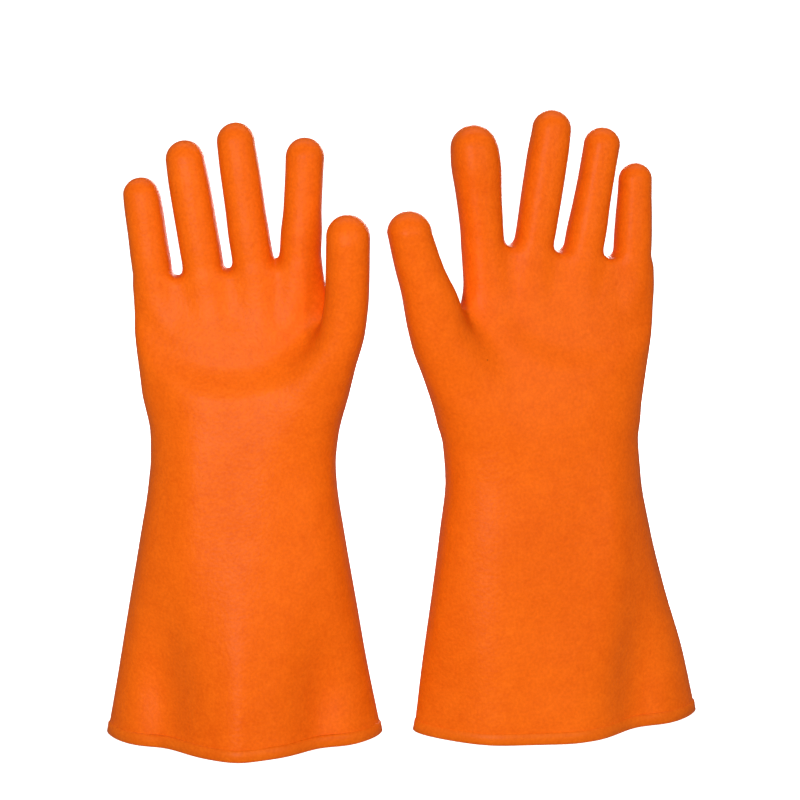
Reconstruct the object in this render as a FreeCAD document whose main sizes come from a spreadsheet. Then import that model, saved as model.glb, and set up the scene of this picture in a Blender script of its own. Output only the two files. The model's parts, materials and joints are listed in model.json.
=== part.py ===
import FreeCAD, Part

import math
import os
import Sketcher

# A pair of dipped rubber electrical insulating gloves, standing on their cuffs with the fingers up.
# Frame: +Z up, palms facing -Y, origin on the surface midway between the two cuffs. Millimetres.
#
# Each real glove is one seamless rubber shell. Here it is cut where the rubber bends, into a cuff
# (edge band and gauntlet), a hand and two segments a digit. The short rubber rings between them are
# the bending zones. Within a glove, u is the distance from its middle towards its thumb side.

DIGITS = ("little", "ring", "middle", "index", "thumb")
FINGERS = DIGITS[:4]
GLOVES = ("right", "left")

# The driving dimensions: name, value, what it is. Angles are in degrees.
SHARED_SIZES = [
    ("wall", 1.6, "rubber wall"),
    ("band_height", 7.5, "height of the thick edge band"),
    ("band_proud", 0.8, "how far the band stands out of the gauntlet"),
    ("rim_width", 79.5, "half width of the gauntlet at its rim"),
    ("rim_depth", 38.0, "half depth of the gauntlet at its rim"),
    ("flare_height", 80.0, "height of the section halfway up the flare"),
    ("flare_width", 65.5, "half width there"),
    ("flare_depth", 32.5, "half depth there"),
    ("wrist_width", 52.8, "half width at the wrist"),
    ("wrist_depth", 26.0, "half depth at the wrist"),
    ("heel_rise", 36.0, "wrist to the heel of the hand"),
    ("heel_width", 54.5, "half width at the heel"),
    ("heel_depth", 23.5, "half depth at the heel"),
    ("palm_rise", 75.0, "wrist to the middle of the palm"),
    ("palm_width", 55.0, "half width of the palm"),
    ("palm_depth", 19.5, "half depth of the palm"),
    ("web_rise", 109.0, "wrist to the webs between the fingers"),
    ("web_spare", -0.4, "how far the palm reaches past the row of fingers at each side"),
    ("web_depth", 13.5, "half depth at the webs"),
    ("web_slope", 9.5, "the web line rises this much towards the index finger"),
    ("wrist_bend", 45.0, "the most that the wrist bends"),
    ("knuckle_bend", 45.0, "the most that a finger bends at its base"),
    ("middle_bend", 60.0, "the most that a finger bends at its middle joint"),
    ("thumb_knuckle_bend", 36.0, "the most that the thumb bends at its base"),
    ("thumb_middle_bend", 48.0, "the most that the thumb bends at its middle joint"),
    ("bend_gap", 0.4, "spare room between two segments at full bend"),
    ("knuckle_reach", 11.0, "base of a digit to its knuckle axis"),
    ("middle_share", 0.5, "middle joint's place along a digit, as a share of its length"),
    ("metacarpal", 40.0, "how far a finger's root reaches down into the palm"),
    ("finger_pitch", 4.0, "fingers lean this much towards the palm side"),
    ("thumb_pitch", 15.0, "the thumb leans this much towards the palm side"),
    ("thumb_roll", 30.0, "the thumb's joint axes are turned this much about its length"),
    ("thumb_out", -15.0, "the thumb's base in Y, in front of the palm"),
    ("rims_apart", 21.5, "the least room between the two gloves' edge bands, along X"),
    ("thumbs_apart", 9.5, "the least room between the two gloves' thumbs, along X"),
    ("pair_shift", 0.6, "the pair's middle in X, so that the whole is centred"),
    ("root_reach", 32.0, "hand middle to the foot of the thumb's root, along u"),
    ("root_out", -4.0, "foot of the thumb's root in Y"),
    ("root_rise", 36.0, "wrist to the foot of the thumb's root"),
    ("root_radius", 19.5, "radius of the thumb's root at its foot"),
    ("root_swell", 1.0, "how far the root's round ends stand out of its cone"),
    ("little_lift", 3.9, "the web line to the little finger's base"),
    ("ring_lift", 2.7, "the web line to the ring finger's base"),
    ("middle_lift", 2.1, "the web line to the middle finger's base"),
    ("index_lift", 1.7, "the web line to the index finger's base"),
    ("little_length", 53.0, "little finger, base to tip"),
    ("ring_length", 70.0, "ring finger, base to tip"),
    ("middle_length", 75.5, "middle finger, base to tip"),
    ("index_length", 63.0, "index finger, base to tip"),
    ("thumb_length", 55.0, "thumb, base to tip"),
    ("little_radius", 10.2, "little finger"),
    ("ring_radius", 10.7, "ring finger"),
    ("middle_radius", 10.9, "middle finger"),
    ("index_radius", 10.8, "index finger"),
    ("thumb_radius", 12.0, "thumb"),
]
# How each soft glove happens to stand: the same values for both, with their own numbers.
LAY = [
    ("place_y", -10.1, 7.9, "middle of the rim in Y"),
    ("yaw", 0.0, 11.0, "turn about Z"),
    ("wrist_height", 164.0, 170.0, "floor to wrist"),
    ("flare_shift", 0.5, 2.5, "u of the flare's middle"),
    ("wrist_shift", 2.2, 7.9, "u of the wrist's middle"),
    ("heel_shift", 1.5, 6.5, "u of the heel's middle"),
    ("palm_shift", -1.0, 3.0, "u of the palm's middle"),
    ("web_shift", -4.85, 2.3, "u of the middle of the row of fingers"),
    ("little_gap", 7.1, 8.1, "between the little and ring fingers at their bases"),
    ("ring_gap", 5.6, 6.9, "between the ring and middle fingers at their bases"),
    ("middle_gap", 4.8, 7.8, "between the middle and index fingers at their bases"),
    ("index_gap", 0.7, 11.7, "between the index finger and the thumb at their bases, along u"),
    ("thumb_drop", 27.0, 22.0, "the middle of the web line down to the thumb's base"),
    ("little_tilt", -5.7, 0.5, "lean towards the thumb side"),
    ("ring_tilt", -7.7, -8.0, "the same"),
    ("middle_tilt", -6.6, -6.9, "the same"),
    ("index_tilt", 3.6, 6.7, "the same"),
    ("thumb_tilt", 4.0, 17.0, "the same"),
]

doc = FreeCAD.newDocument("InsulatingGloves")
sheet = doc.addObject("Spreadsheet::Sheet", "Sizes")


def fill_sheet():
    """Writes the driving dimensions to the sheet, one row each: what it is, its value, its alias."""
    rows = list(SHARED_SIZES)
    for name, right_value, left_value, meaning in LAY:
        rows.append((f"right_{name}", right_value, f"right glove: {meaning}"))
        rows.append((f"left_{name}", left_value, f"left glove: {meaning}"))
    for number, (alias, value, meaning) in enumerate(rows, start=1):
        sheet.set(f"A{number}", meaning)
        sheet.set(f"B{number}", str(value))
        sheet.setAlias(f"B{number}", alias)
    doc.recompute()


def size(alias):
    """The value of a cell of the sheet."""
    return float(sheet.get(alias))


def bind(thing, sizes):
    """Ties properties of a document object to expressions in the sheet's aliases."""
    for name, expression in sizes.items():
        thing.setExpression(name, expression)
    return thing


def turn(x, y, z, degrees):
    return FreeCAD.Rotation(FreeCAD.Vector(x, y, z), degrees)


def at(x, y, z, rotation=None):
    return FreeCAD.Placement(FreeCAD.Vector(x, y, z), rotation or FreeCAD.Rotation())


# ---------------------------------------------------------------- where things are


def thumb_side(glove):
    """+1 where the thumb points along +X, -1 where it points along -X."""
    return 1 if glove == "right" else -1


def finger_row(glove):
    """Where each digit's base stands along u from the row's middle, and the row's half width."""
    places, edge = {}, 0.0
    for digit in DIGITS:
        places[digit] = edge + size(f"{digit}_radius")
        if digit != "thumb":
            edge += 2 * size(f"{digit}_radius") + size(f"{glove}_{digit}_gap")
    half = (places["index"] + size("index_radius")) / 2
    return {digit: place - half for digit, place in places.items()}, half


def inward(glove):
    """How far a glove's edge band and its thumb reach towards the other glove from its middle."""
    yaw = math.radians(size(f"{glove}_yaw"))
    proud = size("band_proud")
    band = math.hypot(
        (size("rim_width") + proud) * math.cos(yaw), (size("rim_depth") + proud) * math.sin(yaw)
    )
    tip = at(0, 0, size("thumb_length") - size("thumb_radius"))
    centre = turn(0, 0, 1, size(f"{glove}_yaw")) * (digit_placement(glove, "thumb") * tip).Base
    return band, thumb_side(glove) * centre.x + size("thumb_radius")


def glove_frame(glove):
    """Standing frame of one glove: origin at the middle of its rim, X across, palm facing -Y."""
    bands, thumbs = (sum(reaches) for reaches in zip(*map(inward, GLOVES)))
    spread = max(bands + size("rims_apart"), thumbs + size("thumbs_apart"))
    x = size("pair_shift") - thumb_side(glove) * spread / 2
    turned = turn(0, 0, 1, size(f"{glove}_yaw"))
    return at(x, size(f"{glove}_place_y"), 0, turned)


def hand_point(glove, u, y, rise):
    """A point of the hand in its glove's frame: u towards the thumb, rise above the wrist."""
    return FreeCAD.Vector(thumb_side(glove) * u, y, size(f"{glove}_wrist_height") + rise)


def digit_base(glove, digit):
    """The base point of a digit, in its glove's frame. The fingers' bases follow the web line."""
    place = finger_row(glove)[0][digit]
    u = size(f"{glove}_web_shift") + place
    if digit == "thumb":
        rise = size("web_rise") - size(f"{glove}_thumb_drop")
        return hand_point(glove, u, size("thumb_out"), rise)
    web_line = size("web_rise") + place * math.tan(math.radians(size("web_slope")))
    return hand_point(glove, u, 0, web_line + size(f"{digit}_lift"))


def digit_placement(glove, digit):
    """A digit in its glove's frame: origin at its base, Z along it, X the way its axes run."""
    pitch = size("thumb_pitch" if digit == "thumb" else "finger_pitch")
    lean = turn(0, 1, 0, thumb_side(glove) * size(f"{glove}_{digit}_tilt"))
    # A thumb closes across the palm, so its joint axes are turned about its own length.
    across = size("thumb_roll") * thumb_side(glove) if digit == "thumb" else 0
    turned = lean * turn(1, 0, 0, pitch) * turn(0, 0, 1, -across)
    return FreeCAD.Placement(digit_base(glove, digit), turned)


def digit_frame(glove, digit):
    return glove_frame(glove) * digit_placement(glove, digit)


def bend(digit, joint):
    return f"thumb_{joint}_bend" if digit == "thumb" else f"{joint}_bend"


def knuckle_half(digit):
    """Half length of the bending ring at a digit's base, so that its neighbours clear at full bend."""
    return f"(Sizes.{digit}_radius * tan(Sizes.{bend(digit, 'knuckle')} / 2 * 1 deg) + Sizes.bend_gap)"


def middle_half(digit):
    """The same at a digit's middle joint."""
    return f"(Sizes.{digit}_radius * tan(Sizes.{bend(digit, 'middle')} / 2 * 1 deg) + Sizes.bend_gap)"


def middle_at(digit):
    return f"(Sizes.{digit}_length * Sizes.middle_share)"


def number(expression):
    """What an expression in the sheet's aliases comes to."""
    return float(sheet.evalExpression(expression.replace("Sizes.", "")))


# ---------------------------------------------------------------- revolved and extruded rubber


def body_named(label, placement):
    body = doc.addObject("PartDesign::Body", label)
    body.Label = label
    body.Placement = placement
    return body


def origin_plane(body, role):
    return next(f for f in body.Origin.OriginFeatures if f.Role == role)


def sketch_on(body, role, name):
    sketch = body.newObject("Sketcher::SketchObject", name)
    sketch.AttachmentSupport = [(origin_plane(body, role), "")]
    sketch.MapMode = "FlatFace"
    return sketch


def sized(sketch, constraint, name, expression):
    """Adds a sized constraint and ties it to the sheet."""
    index = sketch.addConstraint(constraint)
    sketch.renameConstraint(index, name)
    sketch.setExpression(f"Constraints.{name}", expression)


def rubber_tube(label, placement, radius, start, length):
    """A straight stretch of a digit: a tube from start, measured along the digit's Z."""
    body = body_named(label, placement)
    sketch = sketch_on(body, "XY_Plane", f"{label}_section")
    bind(sketch, {"AttachmentOffset.Base.z": start})
    centre, up = FreeCAD.Vector(0, 0, 0), FreeCAD.Vector(0, 0, 1)
    walls = {"outer": radius, "inner": f"{radius} - Sizes.wall"}
    for place, (name, expression) in enumerate(walls.items()):
        sketch.addGeometry(Part.Circle(centre, up, number(expression)))
        sketch.addConstraint(Sketcher.Constraint("Coincident", place, 3, -1, 1))
        radius_rule = Sketcher.Constraint("Radius", place, number(expression))
        sized(sketch, radius_rule, name, expression)
    pad = body.newObject("PartDesign::Pad", f"{label}_pad")
    pad.Profile = sketch
    bind(pad, {"Length": length})
    return body


def rubber_tip(label, placement, radius, start, tip):
    """The closed end of a digit: a tube with a round tip, revolved from its wall's outline."""
    body = body_named(label, placement)
    sketch = sketch_on(body, "XZ_Plane", f"{label}_outline")
    outer, inner = number(radius), number(f"{radius} - Sizes.wall")
    low, dome = number(start), number(f"{tip} - {radius}")
    point = FreeCAD.Vector

    def quarter(r):
        circle = Part.Circle(point(0, dome, 0), point(0, 0, 1), r)
        return Part.ArcOfCircle(circle, 0, math.pi / 2)

    edge = sketch.addGeometry(Part.LineSegment(point(inner, low, 0), point(outer, low, 0)))
    side = sketch.addGeometry(Part.LineSegment(point(outer, low, 0), point(outer, dome, 0)))
    crown = sketch.addGeometry(quarter(outer))
    pole = sketch.addGeometry(
        Part.LineSegment(point(0, dome + outer, 0), point(0, dome + inner, 0))
    )
    hollow = sketch.addGeometry(quarter(inner))
    bore = sketch.addGeometry(Part.LineSegment(point(inner, dome, 0), point(inner, low, 0)))
    joined = [
        (edge, 2, side, 1),
        (side, 2, crown, 1),
        (crown, 2, pole, 1),
        (pole, 2, hollow, 2),
        (hollow, 1, bore, 1),
        (bore, 2, edge, 1),
        (crown, 3, hollow, 3),
    ]
    for ends in joined:
        sketch.addConstraint(Sketcher.Constraint("Coincident", *ends))
    sketch.addConstraint(Sketcher.Constraint("Horizontal", edge))
    sketch.addConstraint(Sketcher.Constraint("Vertical", side))
    sketch.addConstraint(Sketcher.Constraint("Vertical", bore))
    sketch.addConstraint(Sketcher.Constraint("Horizontal", crown, 3, crown, 1))
    sketch.addConstraint(Sketcher.Constraint("PointOnObject", crown, 3, -2))
    sketch.addConstraint(Sketcher.Constraint("PointOnObject", pole, 1, -2))
    sketch.addConstraint(Sketcher.Constraint("PointOnObject", pole, 2, -2))
    sized(sketch, Sketcher.Constraint("Radius", crown, outer), "outer", radius)
    sized(sketch, Sketcher.Constraint("Radius", hollow, inner), "inner", f"{radius} - Sizes.wall")
    sized(sketch, Sketcher.Constraint("DistanceY", -1, 1, edge, 1, low), "start", start)
    sized(sketch, Sketcher.Constraint("DistanceY", -1, 1, crown, 3, dome), "dome", f"{tip} - {radius}")
    turned = body.newObject("PartDesign::Revolution", f"{label}_turned")
    turned.Profile = sketch
    turned.ReferenceAxis = (sketch, ["V_Axis"])
    turned.Angle = 360
    return body


def digit_segments(glove, digit):
    """A digit from its knuckle ring to its tip: ring, first segment, ring, closed tip."""
    frame = digit_frame(glove, digit)
    radius, name = f"Sizes.{digit}_radius", f"{glove}_{digit}"
    knuckle_top = f"(Sizes.knuckle_reach + {knuckle_half(digit)})"
    middle_low = f"({middle_at(digit)} - {middle_half(digit)})"
    middle_top = f"({middle_at(digit)} + {middle_half(digit)})"
    knuckle_low = f"(Sizes.knuckle_reach - {knuckle_half(digit)})"
    return [
        rubber_tube(f"{name}_knuckle", frame, radius, knuckle_low, f"2 * {knuckle_half(digit)}"),
        rubber_tube(f"{name}_lower", frame, radius, knuckle_top, f"{middle_low} - {knuckle_top}"),
        rubber_tube(f"{name}_bend", frame, radius, middle_low, f"2 * {middle_half(digit)}"),
        rubber_tip(f"{name}_tip", frame, radius, middle_top, f"Sizes.{digit}_length"),
    ]


# ---------------------------------------------------------------- lofted gauntlet and hand


def add(kind, name, placement, sizes):
    """A Part primitive in place, with its sizes tied to the sheet."""
    made = bind(doc.addObject(kind, name), sizes)
    made.Placement = placement
    return made


def station(glove, name, width, depth, u, height, slope=0):
    """One elliptical section of a glove's arm and palm, of two expressions for its half sizes."""
    lean = turn(0, 1, 0, -thumb_side(glove) * slope)
    place = glove_frame(glove) * at(thumb_side(glove) * u, 0, height, lean)
    return add("Part::Ellipse", name, place, {"MajorRadius": width, "MinorRadius": depth})


ARM = ("rim", "flare", "wrist", "heel")
PALM = ("wrist", "heel", "palm", "web")


def skin_solid(glove, skin, names, ruled):
    """The solid bounded by the outer or inner surface, lofted through the named sections."""
    inset = 0 if skin == "outer" else size("wall")
    wrist = size(f"{glove}_wrist_height")
    heights = {
        "rim": -inset,
        "flare": size("flare_height"),
        "wrist": wrist,
        "heel": wrist + size("heel_rise"),
        "palm": wrist + size("palm_rise"),
        "web": wrist + size("web_rise") - inset,
    }
    made = doc.addObject("Part::Loft", f"{glove}_{skin}_skin_over_{names[0]}")
    sections = []
    for name in names:
        width = f"Sizes.{name}_width"
        if name == "web":
            width = f"{finger_row(glove)[1]} + Sizes.web_spare"
        half_sizes = [f"{whole} - {inset}" for whole in (width, f"Sizes.{name}_depth")]
        u = 0 if name == "rim" else size(f"{glove}_{name}_shift")
        slope = size("web_slope") if name == "web" else 0
        label = f"{made.Name}_{name}"
        sections.append(station(glove, label, *half_sizes, u, heights[name], slope))
    made.Sections = sections
    made.Solid = True
    made.Ruled = ruled
    return made


def slab(glove, name, low, high):
    """A box wider than the glove between two heights, to cut a length of it."""
    reach = 2 * (size("rim_width") + size("thumb_length"))
    place = glove_frame(glove) * at(-reach / 2, -reach / 2, low)
    made = add("Part::Box", name, place, {})
    made.Length = reach
    made.Width = reach
    made.Height = high - low
    return made


def boolean(kind, name, base, tool):
    """A Part::Fuse, Part::Common or Part::Cut of two solids."""
    made = doc.addObject(kind, name)
    made.Base, made.Tool = base, tool
    return made


def fused(name, parts):
    """One solid of several parts, joined one after another."""
    whole = parts[0]
    for count, part in enumerate(parts[1:], start=1):
        whole = boolean("Part::Fuse", f"{name}_{count}", whole, part)
    return whole


def along(start, end):
    """A placement at start with Z towards end."""
    return FreeCAD.Placement(start, FreeCAD.Rotation(FreeCAD.Vector(0, 0, 1), end - start))


def digit_root(glove, digit, skin):
    """The stub of a digit that rises out of the hand up to its knuckle ring."""
    inset = 0 if skin == "outer" else size("wall")
    # The inner stub runs on a little past the outer one, so the end is cut clean open.
    depth = "Sizes.thumb_radius" if digit == "thumb" else "Sizes.metacarpal"
    frame = digit_frame(glove, digit) * at(0, 0, -number(depth))
    top = f"Sizes.knuckle_reach - {knuckle_half(digit)}"
    sizes = {
        "Radius": f"Sizes.{digit}_radius - {inset}",
        "Height": f"{depth} + {top} + {inset}",
    }
    return add("Part::Cylinder", f"{glove}_{digit}_{skin}_stub", frame, sizes)


def thumb_root(glove, skin):
    """The thick root of the thumb, from the heel of the hand to just below the thumb's base."""
    inset = 0 if skin == "outer" else size("wall")
    u = size(f"{glove}_heel_shift") + size("root_reach")
    foot_in_hand = hand_point(glove, u, size("root_out"), size("root_rise"))
    foot = (glove_frame(glove) * at(*foot_in_hand)).Base
    head = (digit_frame(glove, "thumb") * at(0, 0, -size("thumb_radius"))).Base
    radii = {
        "Radius1": f"Sizes.root_radius - {inset}",
        "Radius2": f"Sizes.thumb_radius - {inset}",
    }
    cone = add("Part::Cone", f"{glove}_thumb_{skin}_root", along(foot, head), radii)
    cone.Height = (head - foot).Length
    balls = []
    for end, radius, centre in (("foot", "root", foot), ("head", "thumb", head)):
        swollen = {"Radius": f"Sizes.{radius}_radius + Sizes.root_swell - {inset}"}
        balls.append(add("Part::Sphere", f"{glove}_thumb_{skin}_{end}", at(*centre), swollen))
    return [cone, *balls]


def wrist_half():
    """Half length of the wrist's bending ring."""
    reach = size("wrist_depth") + size("wall")
    return reach * math.tan(math.radians(size("wrist_bend") / 2)) + size("bend_gap")


def arm_pieces(glove):
    """Edge band, gauntlet and wrist ring of one glove, cut from one pair of straight-sided skins."""
    outer = skin_solid(glove, "outer", ARM, ruled=True)
    inner = skin_solid(glove, "inner", ARM, ruled=True)
    wrist = size(f"{glove}_wrist_height")
    band_top = size("band_height")
    pieces = []
    for piece, low, high in (
        ("gauntlet", band_top, wrist - wrist_half()),
        ("wrist", wrist - wrist_half(), wrist + wrist_half()),
    ):
        name = f"{glove}_{piece}"
        length = boolean("Part::Common", f"{name}_length", outer, slab(glove, f"{name}_cut", low, high))
        pieces.append(boolean("Part::Cut", name, length, inner))

    # The band follows the rim, thicker than the gauntlet above it.
    edges = []
    for level, height in (("foot", 0), ("head", band_top)):
        slim = height / size("flare_height")
        half_sizes = [
            f"Sizes.rim_{what} + (Sizes.flare_{what} - Sizes.rim_{what}) * {slim} + Sizes.band_proud"
            for what in ("width", "depth")
        ]
        u = size(f"{glove}_flare_shift") * slim
        edges.append(station(glove, f"{glove}_band_{level}", *half_sizes, u, height))
    band = doc.addObject("Part::Loft", f"{glove}_band_solid")
    band.Sections = edges
    band.Solid = True
    pieces.append(boolean("Part::Cut", f"{glove}_cuff_band", band, inner))
    return pieces


def hand_piece(glove):
    """The hand above the wrist ring, with the stubs of its digits, hollow all through."""
    flesh = {}
    for skin in ("outer", "inner"):
        palm = skin_solid(glove, skin, PALM, ruled=False)
        roots = [digit_root(glove, digit, skin) for digit in FINGERS]
        thumb = fused(
            f"{glove}_thumb_{skin}", [*thumb_root(glove, skin), digit_root(glove, "thumb", skin)]
        )
        flesh[skin] = fused(f"{glove}_hand_{skin}", [palm, *roots, thumb])
    shell = boolean("Part::Cut", f"{glove}_hand_shell", flesh["outer"], flesh["inner"])
    low = size(f"{glove}_wrist_height") + wrist_half()
    block = slab(glove, f"{glove}_hand_cut", low, low + 2 * size("web_rise"))
    return boolean("Part::Common", f"{glove}_hand", shell, block)


# ---------------------------------------------------------------- build, check and write


def broken(thing):
    return any(word in thing.State for word in ("Invalid", "Error"))


def main():
    fill_sheet()
    pieces = []
    for glove in GLOVES:
        pieces += arm_pieces(glove)
        pieces.append(hand_piece(glove))
        for digit in DIGITS:
            pieces += digit_segments(glove, digit)
    doc.recompute()
    failed = [thing.Label for thing in doc.Objects if broken(thing)]
    for piece in pieces:
        if piece.Shape.isNull() or not piece.Shape.isValid() or not piece.Shape.Solids:
            failed.append(piece.Label)
    if failed:
        raise RuntimeError(f"these did not build: {sorted(set(failed))}")
    os.makedirs("parts", exist_ok=True)
    for piece in pieces:
        piece.Shape.exportStep(f"parts/{piece.Label}.step")
        solids = len(piece.Shape.Solids)
        print(f"{piece.Label}: {solids} solid(s), {piece.Shape.Volume / 1000:.2f} cm3")
    return pieces


PIECES = main()
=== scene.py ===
# %% [markdown]
# # A pair of electrical insulating gloves
# This lesson builds two long rubber gloves that stand on their cuffs. A real one is made by dipping
# a smooth ceramic hand into latex, so the lesson does the same in numbers: it describes the hand as
# a field, turns the field's surface into a mesh, and gives that mesh the thickness of the rubber.
# The CAD frame says where every joint is, and the rubber is wrapped around that.

import json
import math

import bmesh
import bpy
import numpy as np
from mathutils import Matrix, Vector


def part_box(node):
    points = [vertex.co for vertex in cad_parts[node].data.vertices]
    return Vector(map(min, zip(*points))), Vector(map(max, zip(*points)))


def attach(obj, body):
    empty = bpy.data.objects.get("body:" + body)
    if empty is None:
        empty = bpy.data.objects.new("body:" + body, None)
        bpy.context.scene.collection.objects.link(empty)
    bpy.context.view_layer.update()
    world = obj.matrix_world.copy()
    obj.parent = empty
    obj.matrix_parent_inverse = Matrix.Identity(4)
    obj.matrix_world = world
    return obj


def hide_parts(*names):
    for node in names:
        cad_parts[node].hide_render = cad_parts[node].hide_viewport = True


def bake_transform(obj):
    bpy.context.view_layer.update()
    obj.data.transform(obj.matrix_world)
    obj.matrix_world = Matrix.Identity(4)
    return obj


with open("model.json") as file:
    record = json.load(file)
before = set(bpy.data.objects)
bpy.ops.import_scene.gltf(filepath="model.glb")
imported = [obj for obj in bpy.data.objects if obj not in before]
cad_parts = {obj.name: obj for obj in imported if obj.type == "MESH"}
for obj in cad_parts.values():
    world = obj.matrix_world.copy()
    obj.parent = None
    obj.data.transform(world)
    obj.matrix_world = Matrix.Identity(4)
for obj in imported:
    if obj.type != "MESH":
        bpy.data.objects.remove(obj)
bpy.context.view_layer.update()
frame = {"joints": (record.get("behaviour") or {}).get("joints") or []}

# %% [markdown]
# ## The camera
# A product shot of something tall is taken from a little above its middle with a long lens, which
# keeps the two gloves from leaning. The camera is made first, so every later step can be looked at.

# %% Camera
CAMERA_AIM = Vector((0.0006, -0.013, 0.1987))
CAMERA_DISTANCE = 0.978
CAMERA_RISE = math.radians(12.0)
LENS = 80.5


def make_camera():
    """A long lens in front of the pair, looking slightly down."""
    camera = bpy.data.objects.new("camera", bpy.data.cameras.new("camera"))
    bpy.context.scene.collection.objects.link(camera)
    lift = Vector((0, 0, CAMERA_DISTANCE * math.tan(CAMERA_RISE)))
    camera.location = CAMERA_AIM - Vector((0, CAMERA_DISTANCE, 0)) + lift
    camera.rotation_euler = (CAMERA_AIM - camera.location).to_track_quat("-Z", "Y").to_euler()
    camera.data.lens = LENS
    camera.data.sensor_width = 36
    bpy.context.scene.camera = camera
    return camera


camera = make_camera()
print("camera at", [round(x, 3) for x in camera.location])

# %% [markdown]
# ## Where each glove stands
# Everything below works in a glove's own millimetres: u runs from the middle of the cuff towards
# the thumb, y towards the back of the hand and z up. One glove is then the mirror of the other, and
# the same functions make both. The frame's boxes and hinges say where each one stands.

# %% Glove coordinates
MM = 0.001
FINGERS = ("little", "ring", "middle", "index")
DIGITS = FINGERS + ("thumb",)
hinges = {j["name"]: j for j in frame["joints"]}


class Stand:
    """Where one glove stands, and the way between its own millimetres and the frame's metres."""

    def __init__(self, name):
        self.name = name
        self.side = 1 if name == "right" else -1
        low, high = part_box(f"{name}_cuff_band")
        self.middle = (np.array(low) + np.array(high)) / 2 / MM
        self.middle[2] = 0
        across = hinges[f"{name}_middle_knuckle_hinge"]["axis"]
        yaw = math.atan2(across[1], across[0])
        self.turn = np.array(
            [[math.cos(yaw), -math.sin(yaw), 0], [math.sin(yaw), math.cos(yaw), 0], [0, 0, 1]]
        )

    def to_frame(self, points):
        """Own millimetres to the frame's metres."""
        flipped = np.array(points, float) * (self.side, 1, 1)
        return (flipped @ self.turn.T + self.middle) * MM

    def from_frame(self, points):
        """The frame's metres to own millimetres."""
        return ((np.array(points, float) / MM - self.middle) @ self.turn) * (self.side, 1, 1)

    def hinge(self, digit, which):
        """A digit's knuckle or middle hinge, in own millimetres."""
        return self.from_frame(hinges[f"{self.name}_{digit}_{which}_hinge"]["pos_m"])

    def wrist(self):
        return self.from_frame(hinges[f"{self.name}_wrist_hinge"]["pos_m"])


stands = {name: Stand(name) for name in ("right", "left")}
for stand in stands.values():
    print(stand.name, "stands at", stand.middle.round(1), "wrist", stand.wrist().round(1))

# %% [markdown]
# ## Smooth lines and soft joins
# A hand has no straight lines. A curve through a few (height, value) points describes how a width
# changes on the way up, and never swings past its points.


# %% Curves
class Curve:
    """A smooth line through (height, value) points. Calling it gives the value and its slope."""

    def __init__(self, heights, values):
        self.heights, self.values = np.array(heights, float), np.array(values, float)
        steps = np.diff(self.values) / np.diff(self.heights)
        before, after = steps[:-1], steps[1:]
        same_way = before * after > 0
        total = np.where(same_way, before + after, 1)
        inner = np.where(same_way, 2 * before * after / total, 0)
        self.slopes = np.concatenate([steps[:1], inner, steps[-1:]])

    def __call__(self, height):
        h, v, m = self.heights, self.values, self.slopes
        z = np.clip(height, h[0], h[-1])
        i = np.clip(np.searchsorted(h, z) - 1, 0, len(h) - 2)
        span = h[i + 1] - h[i]
        s = (z - h[i]) / span
        rise = v[i + 1] - v[i]
        value = v[i] + s * span * m[i] * (1 - s) ** 2 + rise * s * s * (3 - 2 * s)
        value -= s * s * (1 - s) * span * m[i + 1]
        slope = m[i] * (1 - s) * (1 - 3 * s) + rise / span * 6 * s * (1 - s)
        slope -= m[i + 1] * s * (2 - 3 * s)
        return value, slope


width = Curve((0, 10, 30), (4, 6, 6))
print("a curve and its slope at 5:", [round(float(x), 3) for x in width(5)])

# %% [markdown]
# Two shapes that meet are joined with a soft minimum, which fills the corner between them with a
# fillet, just as thick latex does.


# %% Soft joins
def soft_min(a, b, reach):
    """The smaller of two distances, with a fillet where they are closer than reach."""
    near = np.maximum(reach - np.abs(a - b), 0) / reach
    return np.minimum(a, b) - near * near * reach / 4


def soft_max(a, b, reach):
    return -soft_min(-a, -b, reach)


print("a join of two equal distances:", float(soft_min(0.0, 0.0, 6.0)))

# %% [markdown]
# ## A limb as a field
# Arm, palm, fingers and thumb are all columns: sections stacked on the way up, each a rounded
# shape with its own middle, width and depth. A field gives the distance to the surface instead of
# the surface itself, so columns can be joined with one soft minimum however they cross.


# %% Columns
def column(stations, square, dome=None):
    """A field shaped like a limb: below 0 inside, and roughly the distance in mm near its surface.

    stations are (height, u, y, half width, half depth). square is the section's power at each
    height: 2 is an ellipse, more is boxier, less is a lozenge. dome is where a closed end begins.
    """
    heights, *lines = np.array(stations, float).T
    curves = [Curve(heights, values) for values in lines]
    power = Curve(*zip(*square))

    def field(u, y, z):
        (cu, su), (cy, sy), (a, sa), (b, sb) = [curve(z) for curve in curves]
        square = power(z)[0]
        x, w = (u - cu) / a, (y - cy) / b
        ax, aw = np.abs(x) + 1e-6, np.abs(w) + 1e-6
        k = (ax**square + aw**square) ** (1 / square)
        gx = (ax / k) ** (square - 1) * np.sign(x) / a
        gw = (aw / k) ** (square - 1) * np.sign(w) / b
        gz = -gx * (su + x * sa) - gw * (sy + w * sb)
        if dome is None:
            return (k - 1) / np.sqrt(gx * gx + gw * gw + gz * gz)
        up = np.maximum(z - dome, 0) / a
        whole = np.sqrt(k * k + up * up)
        share = k / whole
        lift = gz * share + up / whole / a
        return (whole - 1) / np.sqrt((gx * gx + gw * gw) * share * share + lift * lift)

    return field


ROUND = ((0, 2), (400, 2))
post = column([(0, 0, 0, 10, 10), (9, 0, 0, 10, 10)], ROUND)
print("12 mm from the middle of a post 10 mm thick, the field is", round(float(post(12, 0, 5)), 2))

# %% [markdown]
# ## The shape of each hand
# These are the sizes a pattern maker would take off the former: widths at a few heights of the arm
# and palm, and the thickness of each finger on its way to the tip. Fingers follow the line through
# their two hinges, so they stay on the frame.

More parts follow.
